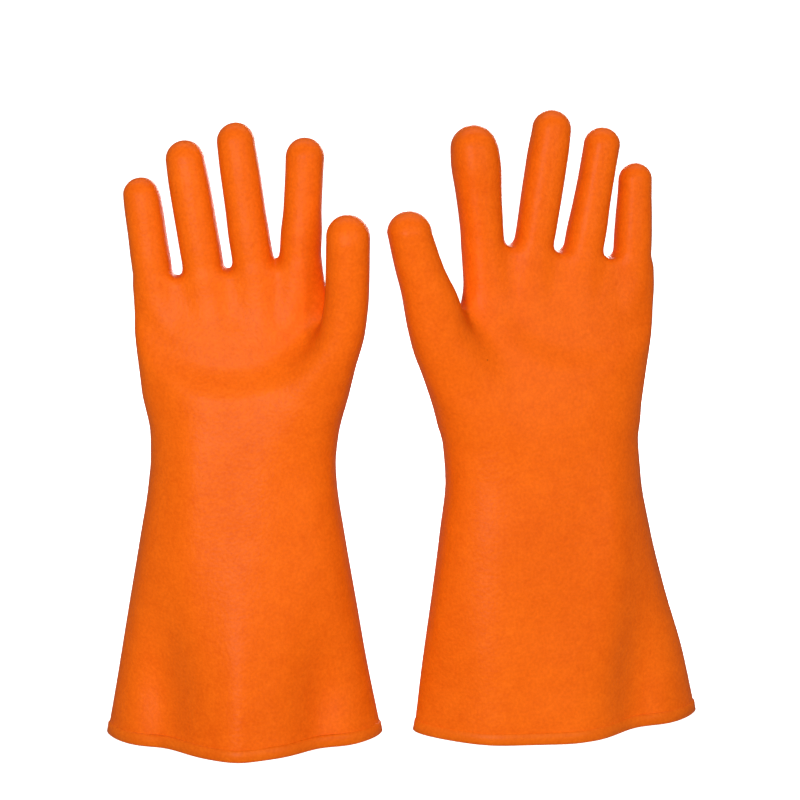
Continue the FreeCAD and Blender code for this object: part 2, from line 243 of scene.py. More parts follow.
# %% Sizes of the former
WALL = 1.6
ARM = {
    "right": [
        (0, -0.1, 0, 79.9, 43.0),
        (40, -0.1, 0, 72.1, 37.5),
        (80, 0.3, 0, 65.0, 33.0),
        (120, 0.8, 0, 57.9, 29.5),
        (150, 1.4, 0, 53.1, 27.5),
        (165, 2.0, 0, 52.0, 26.5),
        (180, 2.5, 0, 52.3, 25.5),
        (205, 1.0, 0, 55.0, 23.5),
        (235, -1.5, 0, 55.2, 18.5),
        (258, -2.6, 0, 52.8, 12.8),
        (278, -4.5, 0, 49.0, 9.0),
    ],
    "left": [
        (0, -2.6, 0, 86.3, 37.0),
        (40, 0.0, 0, 79.0, 33.5),
        (80, 3.6, 0, 69.6, 30.0),
        (120, 6.5, 0, 61.5, 28.0),
        (150, 8.0, 0, 57.0, 26.5),
        (170, 9.6, 0, 56.6, 26.0),
        (185, 10.2, 0, 58.4, 25.5),
        (208, 8.0, 0, 58.6, 23.5),
        (238, 3.0, 0, 56.8, 18.5),
        (265, 1.0, 0, 54.2, 12.6),
        (283, 1.0, 0, 52.2, 9.2),
    ],
}
print("stations up the arm:", {name: len(arm) for name, arm in ARM.items()})

# %% [markdown]
# A finger's thickness is given at a few shares of its length. Below 0 is its hidden root, which
# narrows and leans towards the middle of the palm, so it sinks away inside the hand. The thumb
# leans forward as it rises, so it gets whole stations of its own.

# %% Sizes of the digits
SHARES = (-0.95, -0.28, 0.15, 0.4, 0.65, 0.86)
ROOT_LEAN = 0.72
THICKNESS = {
    "right": {
        "little": (4.0, 10.4, 10.9, 10.6, 10.5, 10.0),
        "ring": (4.0, 10.8, 11.4, 11.4, 11.3, 10.6),
        "middle": (4.0, 11.0, 11.4, 11.0, 10.9, 10.4),
        "index": (4.0, 11.0, 11.4, 10.5, 10.4, 10.6),
    },
    "left": {
        "little": (4.0, 10.4, 10.5, 10.1, 9.4, 9.0),
        "ring": (4.0, 10.8, 11.1, 10.3, 9.9, 9.9),
        "middle": (4.0, 11.0, 11.1, 11.3, 11.3, 10.6),
        "index": (4.0, 11.4, 12.0, 12.6, 13.6, 12.8),
    },
}
THUMB = {
    "right": [
        (150, 14.0, 0.0, 5.0, 5.0),
        (200, 40.0, -6.0, 18.5, 15.5),
        (220, 50.5, -12.0, 15.8, 15.0),
        (240, 58.8, -17.5, 12.9, 13.0),
        (262, 61.9, -22.5, 12.0, 12.2),
        (290, 62.8, -28.5, 11.8, 11.8),
    ],
    "left": [
        (155, 20.0, 0.0, 6.0, 6.0),
        (200, 54.0, -6.0, 20.5, 15.5),
        (220, 64.0, -10.0, 20.0, 15.5),
        (240, 73.5, -14.5, 17.0, 14.0),
        (260, 79.5, -18.5, 15.2, 13.0),
        (275, 85.6, -21.5, 13.4, 12.3),
        (295, 92.0, -25.5, 12.0, 11.8),
    ],
}
THUMB_TOP = {"right": 305.0, "left": 306.5}
print("finger thickness in mm:", {name: rows["middle"][1:] for name, rows in THICKNESS.items()})

# %% [markdown]
# A section can be an ellipse or something squarer, and its power says which. The palm side also
# has soft dents and swellings, where the rubber bellies and caves in, and the webs between the
# fingers lie on a line that climbs towards the index finger.

# %% Sections, dents and webs
# The power of the arm's section on its way up, and of the fingers' and thumb's.
ARM_POWER = ((0, 1.55), (30, 1.65), (80, 2.1), (130, 2.3), (210, 2.3), (245, 2.6), (285, 3.2))
DIGIT_POWER = ((0, 2.3), (400, 2.3))
# Soft dents and swellings of the palm side: u, height, half width, half height, depth.
DENTS = {
    "right": [
        (-42, 34, 16, 46, 9.5),
        (44, 28, 14, 38, 8.5),
        (0, 36, 14, 60, -3.2),
        (-26, 150, 13, 64, -1.8),
    ],
    "left": [
        (-44, 24, 18, 50, 8.5),
        (46, 30, 20, 70, -3.5),
        (-28, 112, 13, 66, -2.8),
    ],
}
# Height of the webs in the middle of the hand, and how much they climb towards the index finger.
WEB = {"right": (271.2, 0.115), "left": (278.8, 0.13)}
# The lowest point of the notch between thumb and index finger.
NOTCH = {"right": 245.0, "left": 257.0}
print("dents:", {name: len(ovals) for name, ovals in DENTS.items()})

# %% [markdown]
# ## The palm's relief
# A shallow bowl pressed into the palm leaves the curved lip across the heel of the hand that these
# gloves have, because the former's fingers are set forward. It fades out towards the fingers, and
# like the dents it only touches the palm side.

# %% Palm relief
# The press in the palm: its middle, its half width and half height, and how deep it goes.
PRESS = {"right": (-4.0, 98.0, 60.0, 58.0, 5.2), "left": (-8.0, 100.0, 58.0, 56.0, 3.6)}


def ease(x):
    """0 below 0, 1 above 1, and a smooth step between."""
    t = np.clip(x, 0, 1)
    return t * t * (3 - 2 * t)


def palm_side(y):
    """0 on the back of the glove and 1 on its palm side."""
    return ease((-2 - y) / 8)


def press(u, y, z, wrist, place):
    """How far the palm is pressed in: an oval with a soft lip, open towards the fingers."""
    middle, rise, wide, high, deep = place
    across, along = (u - middle) / wide, (z - wrist - rise) / high
    inside = 1 - ease((np.sqrt(across**2 + along**2) - 0.72) / 0.34)
    return deep * inside * palm_side(y) * (1 - ease((along + 0.35) / 0.75))


def dents(u, y, z, ovals):
    """How far all the soft dents together press the surface in."""
    total = 0.0
    for middle, height, wide, high, deep in ovals:
        total = total + deep * np.exp(-(((u - middle) / wide) ** 2) - ((z - height) / high) ** 2)
    return total * palm_side(y)


pressed = press(PRESS["right"][0], -20.0, 240.0, 165.0, PRESS["right"])
print("the right palm is pressed in by", round(float(pressed), 2), "mm at a height of 240")

# %% [markdown]
# ## The former as one field
# Arm and palm are one column, closed by a slanting roof where the webs are. Fingers and thumb are
# columns of their own, joined softly, and the thumb's fillet narrows as it rises out of the hand.

# %% The glove field
ROOT_DEPTH = 11
WEB_FILLET = 6.0
ROOF_FILLET = 5.0
# The thumb's fillet at these heights above the notch.
THUMB_FILLETS = ((-30, 17.0), (-8, 13.0), (3, 5.0), (12, 3.0))


def digit_stations(stand, digit):
    """Stations of a finger along the line through its hinges, and the height of its dome."""
    knuckle, middle = stand.hinge(digit, "knuckle"), stand.hinge(digit, "middle")
    tip = stand.from_frame(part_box(f"{stand.name}_{digit}_tip")[1])[2]
    lean = (middle - knuckle) / (middle - knuckle)[2]
    base = knuckle[2] - ROOT_DEPTH
    rows = []
    for share, radius in zip(SHARES, THICKNESS[stand.name][digit]):
        height = base + share * (tip - base)
        u, y, _ = knuckle + lean * (height - knuckle[2])
        if share < -0.5:
            u, y = u * ROOT_LEAN, 0.0
        rows.append((height, u, y, radius, radius))
    return rows, tip - THICKNESS[stand.name][digit][-1]


def glove_fields(stand):
    """The field of a whole glove, and those of its digits alone."""
    name, wrist = stand.name, stand.wrist()[2]
    arm = column(ARM[name], ARM_POWER)
    web_height, web_climb = WEB[name]
    digits = {}
    for digit in FINGERS:
        rows, dome = digit_stations(stand, digit)
        digits[digit] = column(rows, DIGIT_POWER, dome)
    thumb_rows = THUMB[name]
    thumb_dome = THUMB_TOP[name] - thumb_rows[-1][3]
    digits["thumb"] = column(thumb_rows, DIGIT_POWER, thumb_dome)
    shifts, reaches = zip(*THUMB_FILLETS)
    fillet = Curve(NOTCH[name] + np.array(shifts), reaches)

    def field(u, y, z):
        roof = (z - web_height - web_climb * u) / math.hypot(1, web_climb)
        palm = arm(u, y, z) + press(u, y, z, wrist, PRESS[name]) + dents(u, y, z, DENTS[name])
        palm = soft_max(palm, roof, ROOF_FILLET)
        for digit in FINGERS:
            palm = soft_min(palm, digits[digit](u, y, z), WEB_FILLET)
        return soft_min(palm, digits["thumb"](u, y, z), fillet(z)[0])

    return field, digits


# %% [markdown]
# ## From field to mesh
# A surface net puts one point in every grid cell that the surface passes through and joins the
# points of neighbouring cells, which gives a skin of quads with no seams and no poles.

# %% Surface nets
GRID = 1.7


def surface_net(field, low, high, step):
    """Points and quads of the surface where the field is 0, facing outwards."""
    axes = [np.arange(a, b + step, step) for a, b in zip(low, high)]
    inside = field(axes[0][:, None, None], axes[1][None, :, None], axes[2][None, None, :]) < 0
    counts = np.zeros(np.array(inside.shape) - 1, np.int8)
    for corner in np.ndindex(2, 2, 2):
        window = tuple(slice(c, n - 1 + c) for c, n in zip(corner, inside.shape))
        counts += inside[window]
    crossed = (counts > 0) & (counts < 8)
    number = np.full(counts.shape, -1)
    number[crossed] = np.arange(crossed.sum())
    points = np.array(low) + (np.argwhere(crossed) + 0.5) * step
    quads = []
    for axis in range(3):
        b, c = (axis + 1) % 3, (axis + 2) % 3
        first = np.moveaxis(inside, axis, 0)[:-1]
        change = np.moveaxis(first != np.moveaxis(inside, axis, 0)[1:], 0, axis)
        spots = np.argwhere(change)
        for other in (b, c):
            spots = spots[(spots[:, other] > 0) & (spots[:, other] < inside.shape[other] - 1)]
        ring = []
        for shift_b, shift_c in ((-1, -1), (0, -1), (0, 0), (-1, 0)):
            cell = spots.copy()
            cell[:, b] += shift_b
            cell[:, c] += shift_c
            ring.append(number[tuple(cell.T)])
        ring = np.column_stack(ring)
        outward = inside[tuple(spots.T)]
        quads.append(np.where(outward[:, None], ring, ring[:, ::-1]))
    return points, np.concatenate(quads)


ball_radius = 3
ball_points, ball_quads = surface_net(
    lambda u, y, z: u * u + y * y + z * z - ball_radius**2, (-5, -5, -5), (5, 5, 5), 1
)
print("a small ball as a net:", len(ball_points), "points and", len(ball_quads), "quads")

# %% [markdown]
# ## Sliding onto the surface
# The net's points are only in about the right place. They slide along the field's gradient onto
# the exact surface and even out their spacing, a few rounds of each, which leaves a fine skin.


# %% Settling the net
def gradient(field, points, step=0.15):
    """The direction in which the field grows, at each point."""
    columns = []
    for axis in range(3):
        shift = np.zeros(3)
        shift[axis] = step
        ahead, behind = (points + shift).T, (points - shift).T
        columns.append((field(*ahead) - field(*behind)) / (2 * step))
    return np.column_stack(columns)


def onto_surface(field, points):
    """The points, moved along the gradient until the field is 0."""
    for _ in range(2):
        slope = gradient(field, points)
        distance = field(*points.T)
        points = points - (distance / (slope**2).sum(1))[:, None] * slope
    return points


def settle(field, points, quads, rounds=5):
    """Evens out the spacing of the points and keeps them on the surface."""
    ends = np.concatenate([quads[:, [0, 1]], quads[:, [1, 2]], quads[:, [2, 3]], quads[:, [3, 0]]])
    degree = np.bincount(ends[:, 0], minlength=len(points)) + np.bincount(
        ends[:, 1], minlength=len(points)
    )
    points = onto_surface(field, points)
    for _ in range(rounds):
        total = np.zeros_like(points)
        for axis in range(3):
            total[:, axis] = np.bincount(
                ends[:, 0], points[ends[:, 1], axis], len(points)
            ) + np.bincount(ends[:, 1], points[ends[:, 0], axis], len(points))
        middle = total / degree[:, None]
        points = onto_surface(field, points + 0.6 * (middle - points))
    return points


slope = gradient(post, np.array([[12.0, 0.0, 5.0]]))
print("gradient of the post's field beside it:", slope.round(3).tolist())


# %% [markdown]
# ## Cutting the skin where it bends
# One seamless skin can't follow two hinges in a row, so it is cut into pieces that each cross one
# hinge: the long shell crosses the wrist, and each finger is a sleeve over its knuckle and a tip
# over its middle hinge. The cuts lie where the rubber stays straight, so they never open or show.

# %% Where the rubber bends
# The rubber beside a hinge needs this much length for each radian and each mm of thickness, or its
# inner side folds over itself.
BEND_ROOM = 0.75
WRIST_RADIUS = 27
THUMB_RADIUS = 12.5


def bend_half(stand, digit, which, radius):
    """Half the length of rubber that bends at a hinge."""
    most = max(abs(angle) for angle in hinges[f"{stand.name}_{digit}_{which}_hinge"]["range_deg"])
    return BEND_ROOM * math.radians(most) * radius


class Digit:
    """A digit's own line, and the places along it, in mm past its knuckle, where it is cut."""

    def __init__(self, stand, name):
        self.name = name
        self.knuckle = stand.hinge(name, "knuckle")
        middle = stand.hinge(name, "middle")
        self.reach = np.linalg.norm(middle - self.knuckle)
        self.line = (middle - self.knuckle) / self.reach
        radius = THUMB_RADIUS if name == "thumb" else THICKNESS[stand.name][name][1]
        self.low_half = bend_half(stand, name, "knuckle", radius)
        self.high_half = bend_half(stand, name, "middle", radius)
        self.root_cut = -self.low_half
        self.middle_cut = (self.low_half + self.reach - self.high_half) / 2

    def at(self, along):
        """The point of the line this many mm past the knuckle."""
        return self.knuckle + along * self.line

    def along(self, points):
        return (points - self.knuckle) @ self.line


example = Digit(stands["right"], "middle")
print("a finger is cut at", round(example.root_cut, 1), "and", round(example.middle_cut, 1), "mm")

# %% [markdown]
# ## Making the cuts
# Each cut is a plane across a digit. Only the faces near it that belong to that digit are bisected,
# so a cut through one finger leaves its neighbours whole. Below the band's top the skin is removed.


# %% Cuts
BAND_TOP = 7.5
TUCK = 1.0


def nearest_digit(fields, points):
    """For each point, the number of the digit whose own surface is nearest."""
    return np.argmin([np.abs(fields[name](*points.T)) for name in DIGITS], axis=0)


def cut_skin(points, quads, digits, fields):
    """The skin with clean loops of points round every cut, and none below the band's top."""
    mesh = bpy.data.meshes.new("skin")
    mesh.from_pydata(points.tolist(), [], quads.tolist())
    skin = bmesh.new()
    skin.from_mesh(mesh)
    bpy.data.meshes.remove(mesh)
    number = skin.faces.layers.int.new("digit")
    centres = points[quads].mean(1)
    for face, nearest in zip(skin.faces, nearest_digit(fields, centres)):
        face[number] = nearest

    def cut(faces, place, normal, clear=False):
        region = set(faces)
        region.update(e for f in faces for e in f.edges)
        region.update(v for f in faces for v in f.verts)
        bmesh.ops.bisect_plane(
            skin, geom=list(region), plane_co=place, plane_no=normal, clear_inner=clear, dist=1e-4
        )

    for count, digit in enumerate(digits):
        for along in (digit.root_cut, digit.middle_cut):
            place = Vector(digit.at(along))
            line = Vector(digit.line)
            near = [
                f
                for f in skin.faces
                if f[number] == count and abs((f.calc_center_median() - place).dot(line)) < 3 * GRID
            ]
            cut(near, place, line)
    cut(list(skin.faces), (0, 0, BAND_TOP - TUCK), (0, 0, 1), clear=True)
    skin.verts.index_update()
    points = np.array([v.co for v in skin.verts])
    faces = [[v.index for v in f.verts] for f in skin.faces]
    skin.free()
    return points, faces


def sort_faces(points, faces, digits, fields):
    """Which piece each face belongs to: shell, DIGIT_sleeve or DIGIT_end."""
    centres = np.array([points[face].mean(0) for face in faces])
    nearest = nearest_digit(fields, centres)
    names = np.full(len(faces), "shell", dtype="U16")
    for count, digit in enumerate(digits):
        along = digit.along(centres)
        mine = (nearest == count) & (along > digit.root_cut)
        names[mine] = f"{digit.name}_sleeve"
        names[mine & (along > digit.middle_cut)] = f"{digit.name}_end"
    return names


print("the skin ends", BAND_TOP - TUCK, "mm above the rim, inside the band")

# %% [markdown]
# ## Giving the skin its thickness
# Each piece becomes a closed shell: the outer skin, the same skin set in by the wall, and a strip
# round every cut edge. Both walls come from the same points, so neighbouring pieces meet exactly.

# %% Walls
all_pieces = {}


def walled_piece(stand, name, points, inward, faces):
    """A closed rubber shell made from one piece of the skin."""
    used = sorted({v for face in faces for v in face})
    renumber = {old: new for new, old in enumerate(used)}
    outer = [[renumber[v] for v in face] for face in faces]
    count = len(used)
    inner = [[v + count for v in reversed(face)] for face in outer]
    edges = {(a, b) for face in outer for a, b in zip(face, face[1:] + face[:1])}
    strip = [[b, a, a + count, b + count] for a, b in edges if (b, a) not in edges]
    everything = outer + inner + strip
    if stand.side < 0:
        everything = [face[::-1] for face in everything]
    shell = np.concatenate([points[used], points[used] + WALL * inward[used]])
    mesh = bpy.data.meshes.new(f"{stand.name}_{name}")
    mesh.from_pydata(stand.to_frame(shell).tolist(), [], everything)
    mesh.shade_smooth()
    # The skin's own directions go to the corners, so the shading runs on across every cut.
    facing = (np.concatenate([-inward[used], inward[used]]) * (stand.side, 1, 1)) @ stand.turn.T
    mesh.normals_split_custom_set_from_vertices(facing.tolist())
    lining = np.zeros(len(everything), np.int32)
    lining[len(outer) : 2 * len(outer)] = 1
    mesh.polygons.foreach_set("material_index", lining)
    made = bpy.data.objects.new(mesh.name, mesh)
    bpy.context.scene.collection.objects.link(made)
    all_pieces[made.name] = made
    return made


print("the wall is", WALL, "mm thick")

# %% [markdown]
# ## Both gloves
# Now all the steps run for each glove: field, net, cuts and walls. The grid's box is a little
# larger than the glove on every side, and its top follows the longest finger.

# %% Both gloves
BOX_LOW = (-98, -62, -GRID)
BOX_HIGH = (108, 48)
HEADROOM = 6


def make_glove(stand):
    """All the rubber of one glove but its edge band."""
    field, fields = glove_fields(stand)
    tops = [stand.from_frame(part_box(f"{stand.name}_{name}_tip")[1])[2] for name in DIGITS]
    points, quads = surface_net(field, BOX_LOW, (*BOX_HIGH, max(tops) + HEADROOM), GRID)
    points = settle(field, points, quads)
    digits = [Digit(stand, name) for name in DIGITS]
    points, faces = cut_skin(points, quads, digits, fields)
    names = sort_faces(points, faces, digits, fields)
    slope = gradient(field, points)
    inward = -slope / np.linalg.norm(slope, axis=1)[:, None]
    made = {}
    for name in sorted(set(names)):
        chosen = [face for face, owner in zip(faces, names) if owner == name]
        made[name] = walled_piece(stand, name, points, inward, chosen)
    return made, digits, field


gloves = {}
for name, stand in stands.items():
    gloves[name] = make_glove(stand)
    print(name, {k: len(o.data.polygons) for k, o in gloves[name][0].items()})

# %% [markdown]
# ## Node trees as Python
# Geometry and finishes are both made of nodes, and wiring them takes many lines. One small class
# wraps a socket, so that an expression such as a * b + c adds its Math nodes by itself. A second
# one holds the tree and has one method that makes any other node.


# %% Node trees
class Sock:
    """A node's socket that takes part in Python expressions."""

    def __init__(self, wiring, socket):
        self.wiring, self.socket = wiring, socket

    def math(self, operation, first, second):
        return self.wiring.node("ShaderNodeMath", {"operation": operation}, i0=first, i1=second)

    def __add__(self, other):
        return self.math("ADD", self, other)

    def __mul__(self, other):
        return self.math("MULTIPLY", self, other)

    def __sub__(self, other):
        return self.math("SUBTRACT", self, other)

    def __rsub__(self, other):
        return self.math("SUBTRACT", other, self)

    def __lt__(self, other):
        return self.math("LESS_THAN", self, other)

    __radd__ = __add__
    __rmul__ = __mul__


class Wiring:
    """A node tree, and one method that makes any node in it."""

    def __init__(self, tree):
        self.tree = tree

    def node(self, kind, settings=None, output=0, **sockets):
        """A node with its settings, then its sockets by name, or by number as i0, i1."""
        made = self.tree.nodes.new(kind)
        for key, value in (settings or {}).items():
            setattr(made, key, value)
        for key, value in sockets.items():
            number = key[1:]
            slot = made.inputs[int(number) if number.isdigit() else key.replace("_", " ")]
            if isinstance(value, Sock):
                self.tree.links.new(value.socket, slot)
            else:
                slot.default_value = value
        return Sock(self, made.outputs[output])


trial = bpy.data.node_groups.new("trial", "GeometryNodeTree")
1 - Wiring(trial).node("ShaderNodeValue") * 2
print("1 - value * 2 makes", [node.bl_idname for node in trial.nodes])
bpy.data.node_groups.remove(trial)

# %% [markdown]
# ## The edge band's rule
# The dipped edge is rolled into a thick band. It follows a path, so Geometry Nodes sweeps a rounded
# strip round the outline of the rim and lets it lean with the flare. Its sizes are named inputs.

# %% Edge band tree
BAND_INPUTS = {
    "Path": "Geometry",
    "Height": "Float",
    "Thickness": "Float",
    "Corner": "Float",
    "Lean": "Float",
    "Middle": "Vector",
    "Rubber": "Material",
}


def band_tree():
    """Sweeps a strip with round corners along a curve and leans it out towards the bottom."""
    tree = bpy.data.node_groups.new("edge_band", "GeometryNodeTree")
    for name, kind in BAND_INPUTS.items():
        tree.interface.new_socket(name, in_out="INPUT", socket_type=f"NodeSocket{kind}")
    tree.interface.new_socket("Band", in_out="OUTPUT", socket_type="NodeSocketGeometry")
    start, end = tree.nodes.new("NodeGroupInput"), tree.nodes.new("NodeGroupOutput")
    wiring = Wiring(tree)
    node = wiring.node
    path, height, thickness, corner, lean, middle, material = [
        Sock(wiring, start.outputs[name]) for name in BAND_INPUTS
    ]
    strip = node("GeometryNodeCurvePrimitiveQuadrilateral", Width=thickness, Height=height)
    rounded = node("GeometryNodeFilletCurve", Curve=strip, Radius=corner)
    swept = node("GeometryNodeCurveToMesh", Curve=path, Profile_Curve=rounded)
    place = node("GeometryNodeInputPosition")
    offset = node("ShaderNodeVectorMath", {"operation": "SUBTRACT"}, i0=place, i1=middle)
    flat = node("ShaderNodeVectorMath", {"operation": "MULTIPLY"}, i0=offset, i1=(1, 1, 0))
    up = node("ShaderNodeSeparateXYZ", output=2, i0=offset)
    out = node("ShaderNodeVectorMath", {"operation": "SCALE"}, i0=flat, Scale=up * lean * -1.0)
    leaned = node("GeometryNodeSetPosition", Geometry=swept, Offset=out)
    smooth = node("GeometryNodeSetShadeSmooth", Geometry=leaned)
    real = node("GeometryNodeRealizeInstances", Geometry=smooth)
    painted = node("GeometryNodeSetMaterial", Geometry=real, Material=material)
    tree.links.new(painted.socket, end.inputs["Band"])
    return tree


edge_band = band_tree()
print("the edge band's tree has", len(edge_band.nodes), "nodes")

# %% [markdown]
# ## The edge bands
# The outline comes from the same field as the skin, so the band fits it all the way round. It is
# found by halving: a ray from the middle is inside at one end and outside at the other, and each
# step keeps the half in which the surface lies.

# %% Rim path
BAND_PROUD = 0.75
BAND_INSIDE = 0.35
BAND_THICK = WALL + BAND_PROUD + BAND_INSIDE
BAND_MIDDLE = BAND_TOP / 2
RIM_POINTS = 240
RIM_REACH = (5.0, 110.0)
HALVINGS = 24


def rim_outline(field, height):
    """Points of the skin's outline at one height."""
    angle = np.arange(RIM_POINTS) * 2 * math.pi / RIM_POINTS
    ray = np.column_stack([np.cos(angle), np.sin(angle)])
    near, far = [np.full(RIM_POINTS, reach) for reach in RIM_REACH]
    for _ in range(HALVINGS):
        middle = (near + far) / 2
        u, y = (ray * middle[:, None]).T
        outside = field(u, y, np.full(RIM_POINTS, height)) > 0
        far, near = np.where(outside, middle, far), np.where(outside, near, middle)
    return np.column_stack([ray * near[:, None], np.full(RIM_POINTS, height)])


def rim_path(stand, field):
    """A closed curve object along the middle of the band's wall."""
    outline = rim_outline(field, BAND_MIDDLE)
    ahead, behind = np.roll(outline, -1, axis=0), np.roll(outline, 1, axis=0)
    along = (ahead - behind) / np.linalg.norm(ahead - behind, axis=1)[:, None]
    outward = np.column_stack([along[:, 1], -along[:, 0], np.zeros(RIM_POINTS)])
    path = stand.to_frame(outline + (BAND_PROUD - BAND_THICK / 2) * outward)
    curve = bpy.data.curves.new(f"{stand.name}_rim_path", "CURVE")
    curve.dimensions = "3D"
    line = curve.splines.new("POLY")
    line.points.add(RIM_POINTS - 1)
    line.points.foreach_set("co", np.column_stack([path, np.ones(RIM_POINTS)]).ravel())
    line.use_cyclic_u = True
    source = bpy.data.objects.new(curve.name, curve)
    bpy.context.scene.collection.objects.link(source)
    return source


outline = rim_outline(gloves["right"][2], BAND_MIDDLE)
print("the right rim is", np.ptp(outline, axis=0)[:2].round(1), "mm across")

# %% [markdown]
# The tree goes on the path as a modifier, and its evaluated result becomes a plain mesh, because
# the frame and the export want finished pieces.

# %% Edge bands
BAND_CORNER = 1.0
BAND_LEAN = 2.1


def make_band(stand, field, material):
    """The edge band of one glove as a finished mesh piece."""
    source = rim_path(stand, field)
    sweep = source.modifiers.new("edge_band", "NODES")
    sweep.node_group = edge_band
    values = {
        "Height": BAND_TOP * MM,
        "Thickness": BAND_THICK * MM,
        "Corner": BAND_CORNER * MM,
        "Lean": BAND_LEAN,
        "Middle": tuple(stand.to_frame([(0, 0, BAND_MIDDLE)])[0]),
        "Rubber": material,
    }
    for slot in edge_band.interface.items_tree:
        if slot.name in values:
            sweep[slot.identifier] = values[slot.name]
    source.update_tag()
    depsgraph = bpy.context.evaluated_depsgraph_get()
    mesh = bpy.data.meshes.new_from_object(source.evaluated_get(depsgraph), depsgraph=depsgraph)
    bpy.data.objects.remove(source)
    mesh.name = f"{stand.name}_band"
    made = bpy.data.objects.new(mesh.name, mesh)
    bpy.context.scene.collection.objects.link(made)
    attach(made, f"{stand.name}_cuff")
    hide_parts(f"{stand.name}_cuff_band")
    print(made.name, len(mesh.polygons), "faces", [round(x, 4) for x in made.dimensions])
    return made


# %% [markdown]
# ## The pieces in place
# Each piece is baked where it stands, and the frame's parts under it are hidden. The shell lies
# over the wrist, a sleeve over its knuckle and a tip over its middle hinge.


# %% Pieces in place
def ride_glove(stand, made, digits):
    """Bakes every piece of a glove in place and hides the frame's parts under it."""
    side = stand.name
    wrist = stand.wrist()
    most = math.radians(max(abs(a) for a in hinges[f"{side}_wrist_hinge"]["range_deg"]))
    half = BEND_ROOM * most * WRIST_RADIUS
    ends = [tuple(stand.to_frame([wrist + (0, 0, shift)])[0]) for shift in (-half, half)]
    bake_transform(made["shell"])
    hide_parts(f"{side}_gauntlet", f"{side}_wrist", f"{side}_hand")
    for digit in digits:
        lower, tip = f"{side}_{digit.name}_lower", f"{side}_{digit.name}_tip"
        for piece, bodies, place, half, nodes in (
            ("sleeve", (f"{side}_hand", lower), 0, digit.low_half, ("knuckle", "lower")),
            ("end", (lower, tip), digit.reach, digit.high_half, ("bend", "tip")),
        ):
            made_piece = made[f"{digit.name}_{piece}"]
            ends = [tuple(stand.to_frame([digit.at(place + h)])[0]) for h in (-half, half)]
            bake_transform(made_piece)
            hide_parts(*[f"{side}_{digit.name}_{node}" for node in nodes])


for name, stand in stands.items():
    ride_glove(stand, gloves[name][0], gloves[name][1])
    print(name, "pieces that bend:", len(gloves[name][0]))


# %% [markdown]
# ## Wiring a finish
# A finish is a node tree too. This class adds what most of them share: noise, a blend of two
# colours, and the surface shader wired to the output.


# %% Finishes
class Finish(Wiring):
    """A material while it is being wired."""

    def __init__(self, name):
        self.material = bpy.data.materials.new(name)
        self.material.use_nodes = True
        super().__init__(self.material.node_tree)
        self.tree.nodes.clear()

    def noise(self, place, scale, detail=2.0):
        return self.node("ShaderNodeTexNoise", Vector=place, Scale=scale, Detail=detail)

    def blend(self, share, first, second):
        """A colour between two others."""
        return self.node(
            "ShaderNodeMix", {"data_type": "RGBA"}, output=2, i0=share, i6=first, i7=second
        )

    def surface(self, **sockets):
        """The surface shader itself, wired to the output."""
        shader = self.node("ShaderNodeBsdfPrincipled", **sockets)
        end = self.tree.nodes.new("ShaderNodeOutputMaterial")
        self.tree.links.new(shader.socket, end.inputs["Surface"])
        return self.material


trial = Finish("trial")
trial.surface(Roughness=trial.noise(trial.node("ShaderNodeTexCoord", output=3), 5.0))
print("a plain finish has", len(trial.tree.nodes), "nodes")
bpy.data.materials.remove(trial.material)

# %% [markdown]
# ## The rubber
# Dipped latex is an even orange with a soft satin shine. What makes it look real is small: broad
# changes of tone, a fine grain, a faint orange-peel surface, rubbed patches that shine differently
# and a few specks caught in the dip. The lining is the same rubber dusted with powder.


# %% Rubber
SPECK_SCALE = 62.0
SHEEN = 0.07


def rubber(name, light, deep, roughness, grain, specks):
    """Dipped rubber between two tones. grain is how deep the peel is, in mm."""
    make = Finish(name)
    place = make.node("ShaderNodeTexCoord", output=3)
    broad = make.noise(place, 13.0, 3.0)
    mottle = make.noise(place, 110.0, 3.0)
    fine = make.noise(place, 620.0, 2.0)
    tone = broad * 0.9 + mottle * 0.7 + fine * 1.3 - 0.95
    tone = make.node("ShaderNodeClamp", Value=tone)
    colour = make.blend(tone, (*deep, 1), (*light, 1))
    cell = make.node("ShaderNodeTexVoronoi", Vector=place, Scale=SPECK_SCALE)
    pick = make.node("ShaderNodeTexVoronoi", output=1, Vector=place, Scale=SPECK_SCALE)
    chosen = make.node("ShaderNodeSeparateColor", i0=pick)
    speck = (cell < 0.035) * (chosen < specks)
    colour = make.blend(speck * 0.6, colour, (deep[0] * 0.45, deep[1] * 0.4, deep[2], 1))
    rubbed = make.noise(place, 30.0, 4.0)
    swell = make.noise(place, 38.0, 1.0)
    waves = make.node("ShaderNodeBump", Strength=0.35, Distance=2 * MM, Height=swell)
    peel = make.noise(place, 560.0, 2.0) + speck * 0.5
    facing = make.node(
        "ShaderNodeBump", Strength=1.0, Distance=grain * MM, Height=peel, Normal=waves
    )
    rough = rubbed * 0.16 + fine * 0.08 + (roughness - 0.12)
    return make.surface(
        Base_Color=colour, Roughness=rough, Normal=facing, Specular_IOR_Level=SHEEN
    )


orange = rubber("orange_rubber", (0.86, 0.141, 0.004), (0.70, 0.092, 0.0015), 0.42, 0.24, 0.10)
lining = rubber("powdered_lining", (0.90, 0.30, 0.07), (0.78, 0.22, 0.04), 0.8, 0.05, 0.0)
# The band is the same rubber as the glove, given darker tones: painted shade on the rolled edge.
shaded_band_rubber = rubber("band_rubber", (0.80, 0.142, 0.005), (0.66, 0.094, 0.002), 0.42, 0.07, 0.05)
for made in all_pieces.values():
    made.data.materials.append(orange)
    made.data.materials.append(lining)
for name, stand in stands.items():
    make_band(stand, gloves[name][2], shaded_band_rubber)
print("materials:", [m.name for m in bpy.data.materials])

# %% [markdown]
# ## The floor
# A product stands on a pale sweep: a floor that curves up into a backdrop with no visible corner.


# %% Floor
SWEEP_RADIUS = 0.8
SWEEP_FRONT, SWEEP_BACK, SWEEP_SIDE = -12.0, 2.2, 12.0
SWEEP_TOP = 4.0
SWEEP_STEPS = 12


